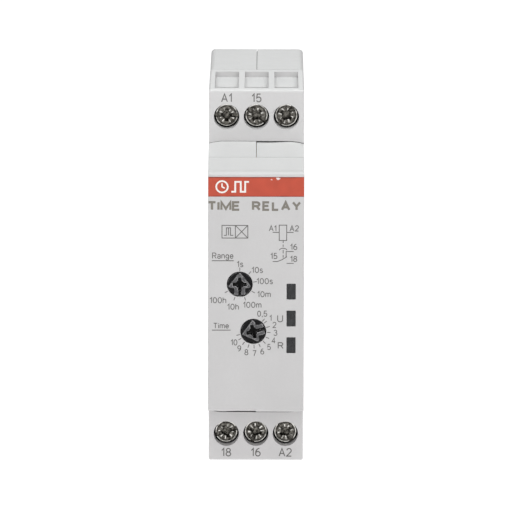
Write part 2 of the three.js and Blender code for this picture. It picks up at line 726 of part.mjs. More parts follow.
function movingContact() {
  const width = around(RELAY_Y, 1);
  const carrier = block([0.4, 3.2], around(RELAY_Y, 1.5), [5.25, 6.05]);
  const blade = block([1.4, 6.1], width, [6, 6.3]);
  const rivet = rod("z", 0.7, [5.7, 6.9], [CONTACT_X, RELAY_Y], SMALL_SIDES);
  return join(carrier, blade, rivet);
}

function closedContact() {
  const strip = block([-4, 6], around(RELAY_Y, 1), [7.5, 7.9]);
  const rivet = rod("z", 0.7, [6.96, 7.6], [CONTACT_X, RELAY_Y], SMALL_SIDES);
  return join(strip, rivet);
}

function openContact() {
  const leg = block([-4, 6], [-19.3, -18.9], [3.4, 4.8]);
  const tongue = block([4.5, 6], [-19.3, RELAY_Y + 0.8], [4.15, 4.45]);
  const rivet = rod("z", 0.7, [4.3, 4.88], [CONTACT_X, RELAY_Y], SMALL_SIDES);
  return join(leg, tongue, rivet);
}

function buildRelay() {
  const cover = cut(
    block([-4, 7], [-20.2, -9.8], [-14.2, 14.2]),
    block([-5, 6.3], [-19.5, -10.5], [-13.5, 13.5]),
  );
  addPiece("relay_base", block([-5.5, -4.1], [-19.9, -10.1], [-13.9, 13.9]), componentBlack);
  addPiece("relay_cover", cover, relayCase);
  addPiece("relay_core", relayCore(), zincSteel);
  addPiece("relay_yoke", relayYoke(), zincSteel);
  addPiece("relay_bobbin", coilBobbin(), componentBlack);
  addPiece("relay_winding", coilWinding(), coilCopper);
  addPiece("relay_armature", block([-3.4, 3.9], around(RELAY_Y, 2.4), [4.4, 5.2]), zincSteel);
  addPiece("relay_moving_contact", movingContact(), copperAlloy);
  addPiece("relay_closed_contact", closedContact(), copperAlloy);
  addPiece("relay_open_contact", openContact(), copperAlloy);
}

// ---------------------------------------------------------------- rail latch

function latchOutline() {
  const tip = -15.8;
  const shoulder = -35.6;
  const end = -38;
  const tab = 2.7;
  return outline([
    [-LATCH_HALF_WIDTH, tip],
    [LATCH_HALF_WIDTH, tip],
    [LATCH_HALF_WIDTH, shoulder],
    [tab, shoulder - 0.6],
    [tab, end + 0.5],
    [tab - 0.5, end],
    [-tab + 0.5, end],
    [-tab, end + 0.5],
    [-tab, shoulder - 0.6],
    [-LATCH_HALF_WIDTH, shoulder],
  ]);
}

function buildLatch() {
  const slide = prismY(latchOutline(), LATCH_Y);
  const springWindow = block(around(0, LATCH_WINDOW_HALF_WIDTH), [0, 5], LATCH_WINDOW_Z);
  const toolSlot = block([-1.6, 1.6], [0, 5], [-37.3, -36.2]);
  const leadIn = prismX(outline([[2.6, -15], [4.5, -15], [4.5, -17.6], [3.6, -17.4]]), [-5, 5]);
  addPiece("rail_latch", cut(slide, springWindow, toolSlot, leadIn), latchGrey);
}

class HelixCurve extends THREE.Curve {
  getPoint(t, target = new THREE.Vector3()) {
    const angle = t * SPRING_TURNS * 2 * Math.PI;
    const low = PEG_Z[1] + SPRING_WIRE_RADIUS + 0.05;
    const high = LATCH_WINDOW_Z[1] - SPRING_WIRE_RADIUS - 0.05;
    const middleY = (LATCH_Y[0] + LATCH_Y[1]) / 2;
    return target.set(
      SPRING_RADIUS * Math.cos(angle),
      middleY + SPRING_RADIUS * Math.sin(angle),
      low + (high - low) * t,
    );
  }
}

function buildLatchSpring() {
  const wire = new THREE.Shape();
  wire.absarc(0, 0, SPRING_WIRE_RADIUS, 0, 2 * Math.PI, false);
  const geometry = new THREE.ExtrudeGeometry(wire, {
    steps: SPRING_TURNS * 12, curveSegments: 3, extrudePath: new HelixCurve(),
  });
  addPiece("latch_spring", toSolid(geometry), springSteel);
}

buildHousing();
buildCovers();
buildTerminals();
buildFrontPlate();
buildDials();
buildIndicators();
buildBoards();
buildComponents();
buildRelay();
buildLatch();
buildLatchSpring();

export default timer;
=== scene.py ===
import json
import math
import random

import bmesh
import bpy
from mathutils import Matrix, Vector


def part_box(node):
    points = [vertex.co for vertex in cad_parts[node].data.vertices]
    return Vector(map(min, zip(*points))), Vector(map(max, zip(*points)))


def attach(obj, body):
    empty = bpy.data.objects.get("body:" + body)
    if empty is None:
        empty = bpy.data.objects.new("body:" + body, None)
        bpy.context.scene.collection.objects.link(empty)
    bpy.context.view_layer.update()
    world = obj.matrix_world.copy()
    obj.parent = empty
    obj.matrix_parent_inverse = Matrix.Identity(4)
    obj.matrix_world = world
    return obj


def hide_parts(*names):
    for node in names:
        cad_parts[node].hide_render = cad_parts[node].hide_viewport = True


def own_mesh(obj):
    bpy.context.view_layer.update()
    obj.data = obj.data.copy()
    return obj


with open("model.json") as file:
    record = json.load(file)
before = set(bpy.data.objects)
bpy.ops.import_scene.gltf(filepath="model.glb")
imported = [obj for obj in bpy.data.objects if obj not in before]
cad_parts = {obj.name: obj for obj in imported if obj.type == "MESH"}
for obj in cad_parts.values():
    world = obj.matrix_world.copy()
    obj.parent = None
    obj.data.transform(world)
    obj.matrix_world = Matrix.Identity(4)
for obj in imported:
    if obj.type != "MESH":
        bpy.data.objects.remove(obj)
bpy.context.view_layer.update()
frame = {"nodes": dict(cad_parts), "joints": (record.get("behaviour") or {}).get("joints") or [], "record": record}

MM = 0.001
COLUMNS = ("left", "middle", "right")
ROWS = ("top", "bottom")
RANDOM = random.Random(17)


# ---------------------------------------------------------------- places taken from the frame

def joint_point(name):
    joint = next(j for j in frame["joints"] if j["name"] == name)
    return Vector(joint["pos_m"])


def node_centre(name):
    low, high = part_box(name)
    return (low + high) / 2


PLATE_LOW, PLATE_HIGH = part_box("front_plate")
FACE_Y = PLATE_LOW.y
HALF_WIDTH = PLATE_HIGH.x
RANGE_AXIS = joint_point("range_dial")
TIME_AXIS = joint_point("time_dial")
COVER_FACE_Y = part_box("terminal_cover_top")[0].y
INK_THICKNESS = 0.012 * MM
INK_STEP = 0.0002 * MM


# ---------------------------------------------------------------- shader helpers

OWN_NOISE_REACH = 40  # how far apart in the noise two objects can lie


class Shader:
    """A principled material with short ways to add procedural detail."""

    def __init__(self, name, roughness=0.5, metallic=0.0):
        self.material = bpy.data.materials.new(name)
        self.material.use_nodes = True
        self.tree = self.material.node_tree
        self.surface = self.tree.nodes["Principled BSDF"]
        self.set(Roughness=roughness, Metallic=metallic)
        self.place = self.node("ShaderNodeTexCoord").outputs["Object"]

    def node(self, kind, **settings):
        node = self.tree.nodes.new(kind)
        for key, value in settings.items():
            setattr(node, key, value)
        return node

    def set(self, **values):
        for key, value in values.items():
            self.surface.inputs[key.replace("_", " ")].default_value = value

    def link(self, source, target):
        self.tree.links.new(source, target)

    def drive(self, socket, source):
        self.link(source, self.surface.inputs[socket])

    def noise(self, size_mm, detail=2.0, stretch=(1, 1, 1)):
        """Noise whose features are about size_mm across."""
        mapping = self.node("ShaderNodeMapping")
        mapping.inputs["Scale"].default_value = stretch
        self.link(self.place, mapping.inputs["Vector"])
        noise = self.node("ShaderNodeTexNoise")
        noise.inputs["Scale"].default_value = 1 / (size_mm * MM)
        noise.inputs["Detail"].default_value = detail
        self.link(mapping.outputs["Vector"], noise.inputs["Vector"])
        return noise.outputs["Fac"]

    def own_noise(self, size_mm, detail=2.0):
        """Noise that differs from one object to the next."""
        noise = self.node("ShaderNodeTexNoise", noise_dimensions="4D")
        noise.inputs["Scale"].default_value = 1 / (size_mm * MM)
        noise.inputs["Detail"].default_value = detail
        self.link(self.place, noise.inputs["Vector"])
        object_share = self.node("ShaderNodeObjectInfo").outputs["Random"]
        self.link(self.math("MULTIPLY", object_share, OWN_NOISE_REACH), noise.inputs["W"])
        return noise.outputs["Fac"]

    def spread(self, source, low, high, start=0.3, end=0.7):
        """The source between start and end, stretched to run from low to high."""
        node = self.node("ShaderNodeMapRange")
        node.inputs["From Min"].default_value = start
        node.inputs["From Max"].default_value = end
        node.inputs["To Min"].default_value = low
        node.inputs["To Max"].default_value = high
        self.link(source, node.inputs["Value"])
        return node.outputs["Result"]

    def mix(self, share, first, second):
        """Two colours, each a tuple or a socket, mixed by a socket."""
        node = self.node("ShaderNodeMix", data_type="RGBA")
        self.link(share, node.inputs[0])
        for socket, value in ((node.inputs[6], first), (node.inputs[7], second)):
            if isinstance(value, tuple):
                socket.default_value = (*value, 1)
            else:
                self.link(value, socket)
        return node.outputs[2]

    def math(self, operation, *values):
        """An operation on numbers and sockets."""
        node = self.node("ShaderNodeMath", operation=operation)
        for socket, value in zip(node.inputs, values):
            if isinstance(value, (int, float)):
                socket.default_value = value
            else:
                self.link(value, socket)
        return node.outputs[0]

    def along(self, axis):
        """The place along one axis, in metres."""
        node = self.node("ShaderNodeSeparateXYZ")
        self.link(self.place, node.inputs[0])
        return node.outputs[axis]

    def spot(self, centre_mm, half_size_mm, ragged=0.6):
        """1 inside a ragged patch around a point, and 0 outside it."""
        node = self.node("ShaderNodeMapping")
        node.inputs["Scale"].default_value = [1 / (size * MM) for size in half_size_mm]
        node.inputs["Location"].default_value = [-at / size for at, size in zip(centre_mm, half_size_mm)]
        self.link(self.place, node.inputs["Vector"])
        length = self.node("ShaderNodeVectorMath", operation="LENGTH")
        self.link(node.outputs["Vector"], length.inputs[0])
        torn = self.math("ADD", length.outputs["Value"], self.spread(self.noise(0.25, 3), -ragged, ragged))
        return self.spread(torn, 1, 0, 0.9, 1.1)

    def bump(self, height, strength, depth_mm):
        node = self.node("ShaderNodeBump")
        node.inputs["Strength"].default_value = strength
        node.inputs["Distance"].default_value = depth_mm * MM
        self.link(height, node.inputs["Height"])
        previous = self.surface.inputs["Normal"].links
        if previous:
            self.link(previous[0].from_socket, node.inputs["Normal"])
        self.drive("Normal", node.outputs["Normal"])

    def edges(self, radius_mm, gain=3.0):
        """1 along sharp edges and 0 on flat stretches."""
        rounded = self.node("ShaderNodeBevel", samples=4)
        rounded.inputs["Radius"].default_value = radius_mm * MM
        plain = self.node("ShaderNodeNewGeometry")
        dot = self.node("ShaderNodeVectorMath", operation="DOT_PRODUCT")
        self.link(rounded.outputs["Normal"], dot.inputs[0])
        self.link(plain.outputs["Normal"], dot.inputs[1])
        bend = self.math("SUBTRACT", 1.0, dot.outputs["Value"])
        return self.spread(bend, 0, 1, 0.0, 1 / gain)

    def hollows(self, distance_mm):
        """1 in the open and lower in corners and recesses."""
        node = self.node("ShaderNodeAmbientOcclusion", samples=8)
        node.inputs["Distance"].default_value = distance_mm * MM
        return node.outputs["AO"]


def shade(colour, factor):
    return tuple(min(1.0, c * factor) for c in colour)


# ---------------------------------------------------------------- materials

def moulded_plastic(name, colour, roughness, grain_mm=0.16, grain_depth_mm=0.004, edge_wear_and_highlight=0.25):
    """Moulded plastic: fine grain, slow drift in tone, edges paler from wear and a painted highlight, painted
    shade in corners and recesses, and near-black painted shade in tight gaps.
    """
    s = Shader(name)
    s.set(IOR=1.49)
    drift = s.mix(s.spread(s.noise(9, 3), 0, 1), shade(colour, 0.97), shade(colour, 1.02))
    speckle = s.mix(s.spread(s.noise(0.5, 4), 0, 0.35, 0.35, 0.75), drift, shade(colour, 0.93))
    # Edges paler partly from wear and partly as a painted highlight where they catch the light.
    rubbed_and_highlit = s.mix(s.math("MULTIPLY", s.edges(0.16), edge_wear_and_highlight), speckle, shade(colour, 1.25))
    # Painted shade: darker in corners and recesses, where shade falls.
    shaded_recesses = s.mix(s.spread(s.hollows(1.6), 0.42, 0, 0.1, 0.8), rubbed_and_highlit, shade(colour, 0.66))
    # Painted shade: near black in tight gaps and creases, such as the split lines and the rims of the screw holes.
    s.drive("Base Color", s.mix(s.spread(s.hollows(0.5), 1, 0, 0.08, 0.42), shaded_recesses, shade(colour, 0.04)))
    s.drive("Roughness", s.spread(s.noise(1.8, 4), roughness - 0.06, roughness + 0.07))
    s.bump(s.noise(grain_mm, 2), 0.35, grain_depth_mm)
    s.bump(s.noise(6, 1), 0.12, 0.05)
    return s.material


def plated_metal(name, colour, roughness, edge_wear_and_highlight=0.5):
    """Plated metal: blotchy plating, fine tool marks, edges paler from wear and a painted highlight, and darker in
    its recesses.
    """
    s = Shader(name, metallic=1.0)
    blotch = s.mix(s.spread(s.noise(0.7, 5), 0, 1), shade(colour, 0.9), shade(colour, 1.05))
    # Edges paler partly from wear and partly as a painted highlight where they catch the light.
    bright = s.mix(s.math("MULTIPLY", s.edges(0.07), edge_wear_and_highlight), blotch, shade(colour, 1.6))
    darker_in_hollows = s.spread(s.hollows(0.9), 0.8, 0, 0.15, 0.8)
    s.drive("Base Color", s.mix(darker_in_hollows, bright, shade(colour, 0.28)))
    s.drive("Roughness", s.spread(s.noise(0.35, 4), roughness - 0.05, roughness + 0.09))
    s.bump(s.noise(0.12, 3, (1, 1, 0.25)), 0.25, 0.004)
    return s.material


def printed_ink(name, colour, fade=0.35):
    """Pad-printed ink: slightly uneven coverage and a soft sheen."""
    s = Shader(name)
    coverage = s.spread(s.noise(0.22, 3), 0, fade, 0.42, 0.7)
    s.drive("Base Color", s.mix(coverage, colour, shade(colour, 1.7)))
    s.drive("Roughness", s.spread(s.noise(0.6, 2), 0.42, 0.55))
    s.bump(s.noise(0.1, 2), 0.2, 0.002)
    return s.material


# Each chip's X, its depth below the band's top edge, and half its width and height.
BAND_CHIPS_MM = ((3.95, 0.3, 0.34, 0.2), (2.75, 0.5, 0.14, 0.1))


def band_paint(colour, under, low_z, high_z):
    """Red printed band, darker along its borders, with two small chips that show the plastic below."""
    s = Shader("band_red")
    tone = s.mix(s.spread(s.noise(2.2, 3), 0, 1), shade(colour, 0.93), shade(colour, 1.05))
    height = s.along("Z")
    top_border = s.spread(height, 0, 1, high_z - 0.26 * MM, high_z - 0.14 * MM)
    foot_border = s.spread(height, 1, 0, low_z + 0.1 * MM, low_z + 0.2 * MM)
    border = s.math("MAXIMUM", top_border, foot_border)
    broken = s.math("MULTIPLY", border, s.spread(s.noise(1.5, 2), 0.35, 0.9))
    lined = s.mix(broken, tone, shade(colour, 0.35))
    chips = [s.spot((x, FACE_Y / MM, high_z / MM - drop), (half_width, 1, half_height))
             for x, drop, half_width, half_height in BAND_CHIPS_MM]
    s.drive("Base Color", s.mix(s.math("MAXIMUM", *chips), lined, under))
    s.drive("Roughness", s.spread(s.noise(1.1, 3), 0.36, 0.5))
    s.bump(s.noise(0.16, 2), 0.25, 0.003)
    return s.material


def smoked_window():
    """Dark smoked polycarbonate with a polished face, faint moulding flow and fine scratches."""
    s = Shader("smoked_polycarbonate")
    s.set(IOR=1.46)
    depth = s.mix(s.spread(s.noise(1.2, 3), 0, 1), (0.016, 0.017, 0.018), (0.036, 0.036, 0.038))
    s.drive("Base Color", s.mix(s.edges(0.12), depth, (0.09, 0.092, 0.095)))
    s.drive("Roughness", s.spread(s.noise(0.4, 5, (1, 1, 0.3)), 0.2, 0.38))
    s.bump(s.noise(0.9, 1), 0.1, 0.02)
    return s.material


def circuit_board():
    """Green solder mask over woven glass cloth, with the copper showing through as paler tracks."""
    s = Shader("solder_mask")
    s.set(Coat_Weight=0.4, Coat_Roughness=0.15)
    tracks = s.node("ShaderNodeTexBrick", offset=0.37, squash=0.6, squash_frequency=3)
    tracks.inputs["Scale"].default_value = 420
    tracks.inputs["Mortar Size"].default_value = 0.012
    s.link(s.place, tracks.inputs["Vector"])
    mask = s.mix(s.spread(s.noise(3, 3), 0, 1), (0.012, 0.075, 0.030), (0.018, 0.105, 0.042))
    s.drive("Base Color", s.mix(tracks.outputs["Fac"], mask, (0.045, 0.20, 0.08)))
    s.drive("Roughness", s.spread(s.noise(0.5, 3), 0.25, 0.4))
    s.bump(tracks.outputs["Fac"], 0.5, 0.03)
    s.bump(s.noise(0.3, 1), 0.15, 0.01)
    return s.material


def wound_copper():
    """Layer-wound enamelled wire: fine turns across the coil's axis."""
    s = Shader("enamelled_wire", metallic=0.85)
    turns = s.node("ShaderNodeTexWave", wave_type="BANDS", bands_direction="Z")
    turns.inputs["Scale"].default_value = 1400
    turns.inputs["Distortion"].default_value = 1.2
    turns.inputs["Detail Scale"].default_value = 2
    s.link(s.place, turns.inputs["Vector"])
    s.drive("Base Color", s.mix(turns.outputs["Fac"], (0.20, 0.05, 0.018), (0.55, 0.19, 0.07)))
    s.drive("Roughness", s.spread(s.noise(0.5, 2), 0.25, 0.42))
    s.bump(turns.outputs["Fac"], 0.7, 0.05)
    return s.material


def relay_shell():
    """Amber relay cover: glossy, slightly cloudy, with sink marks."""
    s = Shader("amber_cover")
    s.set(IOR=1.57, Transmission_Weight=0.25)
    s.drive("Base Color", s.mix(s.spread(s.noise(4, 3), 0, 1), (0.50, 0.19, 0.035), (0.57, 0.235, 0.05)))
    s.drive("Roughness", s.spread(s.noise(0.8, 3), 0.14, 0.28))
    s.bump(s.noise(2.5, 1), 0.15, 0.04)
    return s.material


GREY = (0.615, 0.605, 0.608)
INK_GREY = (0.115, 0.112, 0.108)
BOLD_INK_GREY = (0.20, 0.185, 0.16)
INK_WHITE = (0.86, 0.83, 0.80)
RED = (0.52, 0.072, 0.036)
CHIP_PINK = (0.8, 0.72, 0.7)

# Painted shade and light: the front plate gets a shaded copy of the housing grey and the covers a lit copy,
# standing in for how light falls on them.
PLATE_GREY_SHADED = shade(GREY, 0.965)
COVER_GREY_LIT = shade(GREY, 1.045)

MATERIALS = {
    "housing_plastic": moulded_plastic("housing_polycarbonate", GREY, 0.52, edge_wear_and_highlight=0.0),
    "knob_plastic": moulded_plastic("knob_nylon", (0.011, 0.011, 0.012), 0.36, edge_wear_and_highlight=0.0),
    "smoked_window": smoked_window(),
    "screw_steel": plated_metal("nickel_plate", (0.50, 0.475, 0.44), 0.26),
    "cage_steel": plated_metal("zinc_plate", (0.50, 0.50, 0.49), 0.34),
    "copper_alloy": plated_metal("copper_strip", (0.64, 0.40, 0.21), 0.30),
    "board": circuit_board(),
    "component_black": moulded_plastic("moulding_compound", (0.016, 0.016, 0.017), 0.5, edge_wear_and_highlight=0.1),
    "component_blue": moulded_plastic("blue_sleeve", (0.025, 0.085, 0.30), 0.32, edge_wear_and_highlight=0.2),
    "component_yellow": moulded_plastic("yellow_case", (0.60, 0.37, 0.045), 0.36, edge_wear_and_highlight=0.2),
    "relay_case": relay_shell(),
    "relay_iron": plated_metal("soft_iron", (0.46, 0.46, 0.45), 0.38),
    "coil_copper": wound_copper(),
    "led_body": moulded_plastic("lamp_body", (0.76, 0.73, 0.62), 0.3, edge_wear_and_highlight=0.0),
    "latch_plastic": moulded_plastic("latch_nylon", (0.032, 0.033, 0.035), 0.46, grain_mm=0.25),
    "spring_steel": plated_metal("spring_wire", (0.52, 0.52, 0.53), 0.24),
}
NODE_MATERIALS = {
    "front_plate": moulded_plastic("front_plate_shaded_polycarbonate", PLATE_GREY_SHADED, 0.52, edge_wear_and_highlight=0.1),
    "terminal_cover_top": moulded_plastic("cover_lit_polycarbonate", COVER_GREY_LIT, 0.52, edge_wear_and_highlight=0.1),
}
NODE_MATERIALS["terminal_cover_bottom"] = NODE_MATERIALS["terminal_cover_top"]
INK = printed_ink("grey_ink", INK_GREY)
BOLD_INK = printed_ink("warm_grey_ink", BOLD_INK_GREY)
WHITE_INK = printed_ink("white_ink", INK_WHITE, fade=0.1)


# ---------------------------------------------------------------- mesh helpers

def in_mm(points):
    """Pairs of millimetres as pairs of metres."""
    return [(a * MM, b * MM) for a, b in points]


def add_object(name, mesh):
    obj = bpy.data.objects.new(name, mesh)
    bpy.context.scene.collection.objects.link(obj)
    return obj


def mesh_from(name, vertices, faces):
    mesh = bpy.data.meshes.new(name)
    mesh.from_pydata([tuple(v) for v in vertices], [], faces)
    mesh.validate()
    work = bmesh.new()
    work.from_mesh(mesh)
    bmesh.ops.recalc_face_normals(work, faces=work.faces)
    work.to_mesh(mesh)
    work.free()
    return mesh


def prism(name, outline, y_front, y_back):
    """A solid with an outline in X and Z, reaching from one Y to another."""
    count = len(outline)
    vertices = [(x, y_front, z) for x, z in outline] + [(x, y_back, z) for x, z in outline]
    faces = [tuple(range(count)), tuple(range(2 * count - 1, count - 1, -1))]
    for i in range(count):
        j = (i + 1) % count
        faces.append((i, i + count, j + count, j))
    return add_object(name, mesh_from(name, vertices, faces))


def box_piece(name, x, y, z):
    outline = [(x[0], z[0]), (x[1], z[0]), (x[1], z[1]), (x[0], z[1])]
    return prism(name, outline, *y)


def revolved(name, profile, sides=64):
    """A solid turned around the Y axis. The profile is (radius, y) pairs, from the axis back to the axis."""
    vertices = [(0, profile[0][1], 0), (0, profile[-1][1], 0)]
    ring = profile[1:-1]
    for radius, y in ring:
        for step in range(sides):
            angle = 2 * math.pi * step / sides
            vertices.append((radius * math.sin(angle), y, radius * math.cos(angle)))
    faces = []
    for step in range(sides):
        after = (step + 1) % sides
        faces.append((0, 2 + after, 2 + step))
        last = 2 + (len(ring) - 1) * sides
        faces.append((1, last + step, last + after))
        for level in range(len(ring) - 1):
            here = 2 + level * sides
            there = here + sides
            faces.append((here + step, here + after, there + after, there + step))
    return add_object(name, mesh_from(name, vertices, faces))


def turned(obj, angle_deg):
    """The object turned clockwise about Y, as seen from the front."""
    obj.rotation_euler = (0, math.radians(angle_deg), 0)
    return obj


def baked(obj):
    """The object's mesh with its modifiers applied."""
    graph = bpy.context.evaluated_depsgraph_get()
    graph.update()
    mesh = bpy.data.meshes.new_from_object(obj.evaluated_get(graph))
    obj.modifiers.clear()
    obj.data = mesh
    return obj


def carve(target, cutters, operation="DIFFERENCE"):
    for cutter in cutters:
        step = target.modifiers.new("cut", "BOOLEAN")
        step.object = cutter
        step.operation = operation
        step.solver = "EXACT"
    baked(target)
    for cutter in cutters:
        bpy.data.objects.remove(cutter)
    return target


def soften(obj, width_mm, segments=2, angle_deg=30):
    """Rounds the sharp edges and shades the rest smooth."""
    bevel = obj.modifiers.new("edge", "BEVEL")
    bevel.width = width_mm * MM
    bevel.segments = segments
    bevel.limit_method = "ANGLE"
    bevel.angle_limit = math.radians(angle_deg)
    bevel.harden_normals = False
    smooth(obj)
    even = obj.modifiers.new("even", "WEIGHTED_NORMAL")
    even.keep_sharp = True
    return obj


def smooth(obj, angle_deg=40):
    obj.data.polygons.foreach_set("use_smooth", [True] * len(obj.data.polygons))
    obj.data.set_sharp_from_angle(angle=math.radians(angle_deg))


def paint(obj, material, body):
    obj.data.materials.clear()
    obj.data.materials.append(material)
    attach(obj, body)
    return obj


# ---------------------------------------------------------------- CAD nodes that stay

EDGE_MM = {
    "front_plate": 0.14, "housing_left": 0.06, "housing_right": 0.06,
    "terminal_cover_top": 0.06, "terminal_cover_bottom": 0.06, "rail_latch": 0.14,
    "relay_cover": 0.25, "film_capacitor": 0.35, "rotary_switch": 0.2, "potentiometer": 0.2,
    "control_chip": 0.12, "capacitor_supply": 0.3, "capacitor_filter": 0.3, "varistor": 0.35,
}
DEFAULT_EDGE_MM = 0.06


def dress_cad_nodes():
    """Gives each CAD node its material, welded facets and softened edges."""
    slots = {s["node"]: s["material_slot"] for s in frame["record"]["subparts"]}
    for name, obj in frame["nodes"].items():
        if "custom_normal" in obj.data.attributes:
            obj.data.attributes.remove(obj.data.attributes["custom_normal"])
        obj.data.materials.clear()
        obj.data.materials.append(NODE_MATERIALS.get(name, MATERIALS[slots[name]]))
        weld = obj.modifiers.new("weld", "WELD")
        weld.merge_threshold = 0.002 * MM
        flat = obj.modifiers.new("flat", "DECIMATE")
        flat.decimate_type = "DISSOLVE"
        flat.angle_limit = math.radians(0.5)
        soften(obj, EDGE_MM.get(name, DEFAULT_EDGE_MM))


# ---------------------------------------------------------------- terminal screws

HEAD_DEPTH_MM = 2.3
SCREW_LENGTH_MM = 6.4
RECESS_DEPTH_MM = 1.0
PIN_DEPTH_MM = 0.68
PIN_BAND_MM = 0.06
SLOT_DEPTH_MM = 0.45
RUB_MARK_HEIGHT_MM = 0.05
RUB_MARK_SIDES_DEG = (-26, 26)
RIDGE_COUNT = 7
RIDGE_PITCH_MM = 0.5
ABOVE_HEAD_MM = 0.3  # how far the cutters start above the head
WING_TAPER = (0.72, 0.62)  # a wing's width and length at its bottom, as shares of those at its top
SLOT_TURNS_DEG = {"top": (92, 127, 38), "bottom": (72, 20, 145)}
WING_ANGLES_DEG = (0, 90, 180, 270)


def screw_steel():
    """Dull dark plating, polished on the raised marks and ring and painted near-white there as painted glints,
    darker in its hollows, and with a painted highlight on the pin in the recess.
    """
    s = Shader("dull_nickel", metallic=1.0)
    depth = s.along("Y")
    patches = s.own_noise(0.45, 5)
    dull = s.mix(s.spread(patches, 0, 1, 0.38, 0.66), (0.035, 0.032, 0.028), (0.30, 0.285, 0.255))
    # Painted highlight: the pin in the recess is painted paler, as if lit.
    pin = s.math("COMPARE", depth, PIN_DEPTH_MM * MM, PIN_BAND_MM * MM)
    darker_in_hollows = s.spread(s.hollows(0.5), 1, 0, 0.15, 0.8)
    darkened_in_hollows = s.mix(darker_in_hollows, s.mix(pin, dull, (0.34, 0.325, 0.28)), (0.010, 0.009, 0.008))
    # Painted glints: the polished raised marks and ring are painted near-white to stand in for the light they
    # catch.
    raised = s.spread(depth, 1, 0, -RUB_MARK_HEIGHT_MM * MM, -0.015 * MM)
    rubbed_and_highlit = s.math("MULTIPLY", raised, s.spread(s.own_noise(0.7, 2), 0.25, 1, 0.38, 0.54))
    s.drive("Base Color", s.mix(rubbed_and_highlit, darkened_in_hollows, (1.0, 0.98, 0.93)))
    s.drive("Roughness", s.spread(s.noise(0.35, 4), 0.2, 0.42))
    s.bump(s.noise(0.12, 3), 0.3, 0.006)
    return s.material


def screw_profile():
    """Half section of the screw: a raised ring near the rim of its head and ridges down its shank."""
    head = [(0, 0), (1.66, 0), (1.7, 0.12), (1.8, 0.12)]
    ring = [(1.84, -0.04), (2.0, -0.05), (2.08, 0.06), (2.2, 0.3)]
    shank_start = HEAD_DEPTH_MM + 0.3
    neck = [(2.2, HEAD_DEPTH_MM - 0.1), (2.1, HEAD_DEPTH_MM), (1.5, HEAD_DEPTH_MM), (1.5, shank_start)]
    ridges = []
    for turn in range(RIDGE_COUNT):
        start = shank_start + RIDGE_PITCH_MM * turn
        ridges += [(1.22, start + RIDGE_PITCH_MM / 2), (1.5, start + RIDGE_PITCH_MM)]
    tip = [(1.3, SCREW_LENGTH_MM - 0.02), (0, SCREW_LENGTH_MM)]
    return in_mm(head + ring + neck + ridges + tip)


def rub_marks():
    """Eight short raised marks, one on each side of each wing of the recess, no two quite alike."""
    marks = []
    for wing in WING_ANGLES_DEG:
        for side in RUB_MARK_SIDES_DEG:
            half = RANDOM.uniform(0.06, 0.12)
            inner, outer = RANDOM.uniform(0.82, 0.98), RANDOM.uniform(1.3, 1.54)
            outline = in_mm([(-half, inner), (half, inner), (1.6 * half, outer), (-1.6 * half, outer)])
            mark = prism("mark", outline, -RUB_MARK_HEIGHT_MM * MM, 0.1 * MM)
            marks.append(turned(mark, wing + side + RANDOM.uniform(-6, 6)))
    return marks


def recess_cutters():
    """Cross recess with tapered wings around a low pin, and a driver slot from rim to rim."""
    cutters = []
    wing_depth = (-ABOVE_HEAD_MM * MM, RECESS_DEPTH_MM * MM)
    slot_depth = (-ABOVE_HEAD_MM * MM, SLOT_DEPTH_MM * MM)
    for wing in WING_ANGLES_DEG[:2]:
        arm = box_piece("wing", (-0.36 * MM, 0.36 * MM), wing_depth, (-1.3 * MM, 1.3 * MM))
        for vertex in arm.data.vertices:
            if vertex.co.y > 0:
                vertex.co.x *= WING_TAPER[0]
                vertex.co.z *= WING_TAPER[1]
        cutters.append(turned(arm, wing))
    cutters.append(box_piece("slot", (-0.4 * MM, 0.4 * MM), slot_depth, (-3 * MM, 3 * MM)))
    well = [(0, PIN_DEPTH_MM), (0.5, PIN_DEPTH_MM), (0.56, RECESS_DEPTH_MM), (0.7, RECESS_DEPTH_MM),
            (0.86, -ABOVE_HEAD_MM), (0, -ABOVE_HEAD_MM)]
    cutters.append(revolved("well", in_mm(well), 28))
    return cutters


def build_screws():
    steel = screw_steel()
    for row in ROWS:
        for column, turn in zip(COLUMNS, SLOT_TURNS_DEG[row]):
            node = f"terminal_screw_{row}_{column}"
            low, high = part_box(node)
            screw = revolved(f"screw_{row}_{column}_turned", screw_profile(), 72)
            carve(screw, rub_marks(), "UNION")
            carve(screw, recess_cutters())
            screw.location = ((low.x + high.x) / 2, low.y, (low.z + high.z) / 2)
            soften(turned(screw, turn), 0.03, 2, 25)
            paint(screw, steel, f"screw_{row}_{column}")
            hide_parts(node)


# ---------------------------------------------------------------- dial scales

# Angles are clockwise from straight up, and each label's place is measured from its dial's axis.
RANGE_STOPS_DEG = (0, 40, 80, 120, 160, 200, 240)
RANGE_LABELS = (("1s", 0.05, 3.78), ("10s", 3.19, 2.7), ("100s", 4.54, 0.62), ("10m", 4.41, -1.81),
                ("100m", 2.28, -3.8), ("10h", -1.22, -4.17), ("100h", -3.98, -2.96))
TIME_START_DEG = 30
TIME_STEP_DEG = 21
TIME_NUMBERS = range(1, 11)
TIME_END_DEG = 255  # where the time dial's pointer stands at rest
TIME_END_TICK_DEG = 257
TICK_MM = (2.5, 3.15)
TIME_LABEL_RADIUS_MM = 4.06


# ---------------------------------------------------------------- dial knobs

POINTER_TOP = 0.02 * MM  # below the face of the front plate
KNOB_FACE = 0.28 * MM
KNOB_RADIUS = 2.26 * MM


